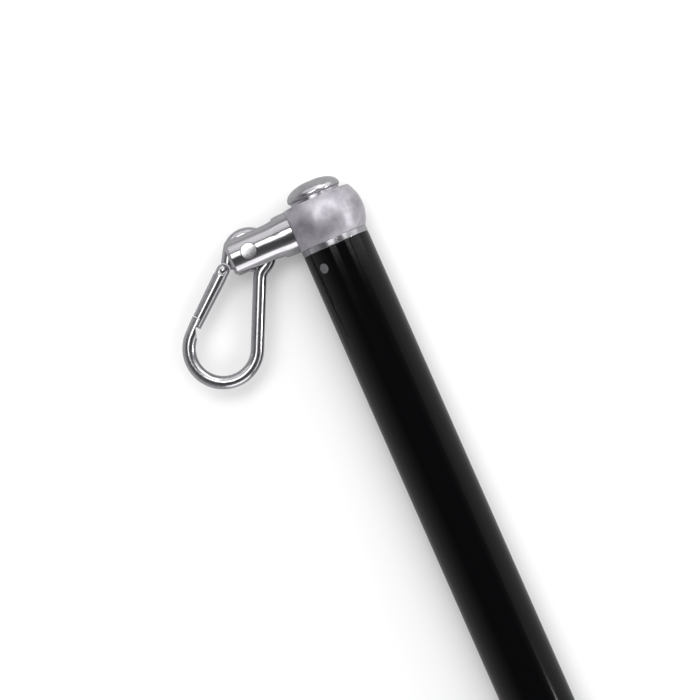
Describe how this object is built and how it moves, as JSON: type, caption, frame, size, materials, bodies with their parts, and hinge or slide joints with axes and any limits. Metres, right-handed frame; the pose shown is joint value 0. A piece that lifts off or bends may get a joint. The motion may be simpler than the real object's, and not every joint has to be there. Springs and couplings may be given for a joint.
{
  "type": "pole with swivel head and snap hook",
  "caption": "Round black pole with a full-turn swivel ball head, a clevis arm and a sprung snap hook that takes a line, tether, flag or banner.",
  "frame": {"origin": "centre of the foot cap's end face, on the pole's axis", "axes": "+X along the pole from foot to head, +Y along the clevis arm at rest, +Z square to both, up as the pole lies"},
  "size_m": [0.4918, 0.1103, 0.04],
  "materials": {
    "gloss_black_tube": "glossy black paint",
    "polished_steel": "polished stainless steel",
    "satin_steel": "satin stainless steel",
    "pin_steel": "dull dark steel",
    "fastener_steel": "plain stainless steel",
    "spring_steel": "drawn spring wire",
    "bush_plastic": "black bearing plastic",
    "foot_rubber": "moulded black rubber"
  },
  "bodies": {
    "pole": {"pole_tube": "gloss_black_tube", "head_insert": "polished_steel", "insert_pin_upper": "pin_steel", "insert_pin_lower": "pin_steel", "swivel_spindle": "fastener_steel", "spindle_lock_washer": "fastener_steel", "spindle_nut": "fastener_steel", "domed_cap": "polished_steel", "foot_cap": "foot_rubber", "foot_washer": "fastener_steel"},
    "head": {"ball_head": "satin_steel", "lower_bush": "bush_plastic", "upper_bush": "bush_plastic", "clevis_arm": "satin_steel", "arm_lock_screw": "fastener_steel", "clevis_pin": "polished_steel"},
    "hook": {"hook_frame": "polished_steel", "gate_rivet": "polished_steel"},
    "gate": {"hook_gate": "polished_steel", "gate_plunger": "fastener_steel", "gate_spring": "spring_steel"}
  },
  "joints": [
    {"name": "head_swivel", "type": "hinge", "parent": "pole", "child": "head", "pos_m": [0.4722, 0, 0], "axis": [1, 0, 0], "continuous": true},
    {"name": "hook_swing", "type": "hinge", "parent": "head", "child": "hook", "pos_m": [0.4722, 0.04, 0], "axis": [0, 0, -1], "range_deg": [-39, 140]},
    {"name": "gate_open", "type": "hinge", "parent": "hook", "child": "gate", "pos_m": [0.46881, 0.05529, 0], "axis": [0, 0, 1], "range_deg": [0, 28], "stiffness_Nm_per_rad": 0.2, "springref_deg": -20.05}
  ]
}
